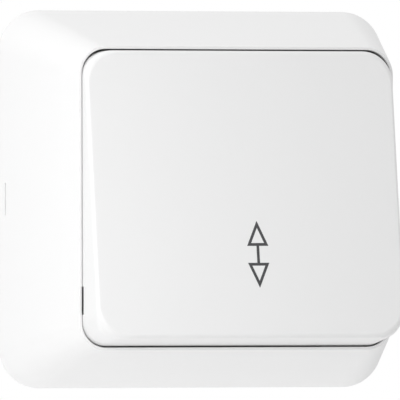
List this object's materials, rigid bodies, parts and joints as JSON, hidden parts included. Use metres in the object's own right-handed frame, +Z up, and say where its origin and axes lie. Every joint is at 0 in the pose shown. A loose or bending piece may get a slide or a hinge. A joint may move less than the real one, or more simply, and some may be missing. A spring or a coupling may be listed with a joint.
{
  "type": "two-way light switch",
  "caption": "Surface-mounted two-way light switch: a wide tilting key in a tapered white housing, over a seesaw changeover contact with screw terminals.",
  "frame": {"origin": "middle of the base on the wall face", "axes": "+X right, +Z up, +Y into the wall, so the front faces -Y"},
  "size_m": [0.0864, 0.0385, 0.08],
  "materials": {
    "white_moulding": "satin white moulding",
    "key_moulding": "satin white moulding",
    "back_moulding": "matt white moulding",
    "natural_moulding": "natural nylon",
    "dark_moulding": "dark grey moulding",
    "brass": "plain brass",
    "copper_alloy": "rolled copper alloy",
    "contact_silver": "silver alloy",
    "plated_steel": "zinc plated",
    "spring_steel": "drawn wire"
  },
  "bodies": {
    "housing": {"cover": "white_moulding", "base_plate": "back_moulding", "mechanism_lid": "natural_moulding", "mechanism_body": "dark_moulding", "upper_fixed_contact": "contact_silver", "lower_fixed_contact": "contact_silver", "cover_screw_upper": "plated_steel", "cover_screw_lower": "plated_steel", "mechanism_screw_upper": "plated_steel", "mechanism_screw_lower": "plated_steel", "common_terminal": "brass", "common_clamp_plate": "plated_steel", "common_terminal_screw": "plated_steel", "upper_terminal": "brass", "upper_clamp_plate": "plated_steel", "upper_terminal_screw": "plated_steel", "lower_terminal": "brass", "lower_clamp_plate": "plated_steel", "lower_terminal_screw": "plated_steel"},
    "rocker": {"rocker_key": "key_moulding", "rocker_carrier": "natural_moulding", "plunger_spring": "spring_steel"},
    "plunger": {"plunger": "natural_moulding"},
    "contact_blade": {"contact_blade": "copper_alloy", "upper_moving_contact": "contact_silver", "lower_moving_contact": "contact_silver"}
  },
  "joints": [
    {"name": "rocker_tilt", "type": "hinge", "parent": "housing", "child": "rocker", "pos_m": [0, -0.028, 0], "axis": [1, 0, 0], "range_deg": [0, 16]},
    {"name": "plunger_slide", "type": "slide", "parent": "rocker", "child": "plunger", "axis": [0, -0.9903, 0.1392], "range_m": [0, 0.0012], "stiffness_N_per_m": 400, "springref_m": -0.002, "deforming": ["plunger_spring"]},
    {"name": "blade_tilt", "type": "hinge", "parent": "housing", "child": "contact_blade", "pos_m": [0, -0.0063, 0], "axis": [1, 0, 0], "range_deg": [-16, 0]}
  ],
  "couplings": [
    {"joint": "blade_tilt", "follows": "rocker_tilt", "ratio": -1}
  ]
}
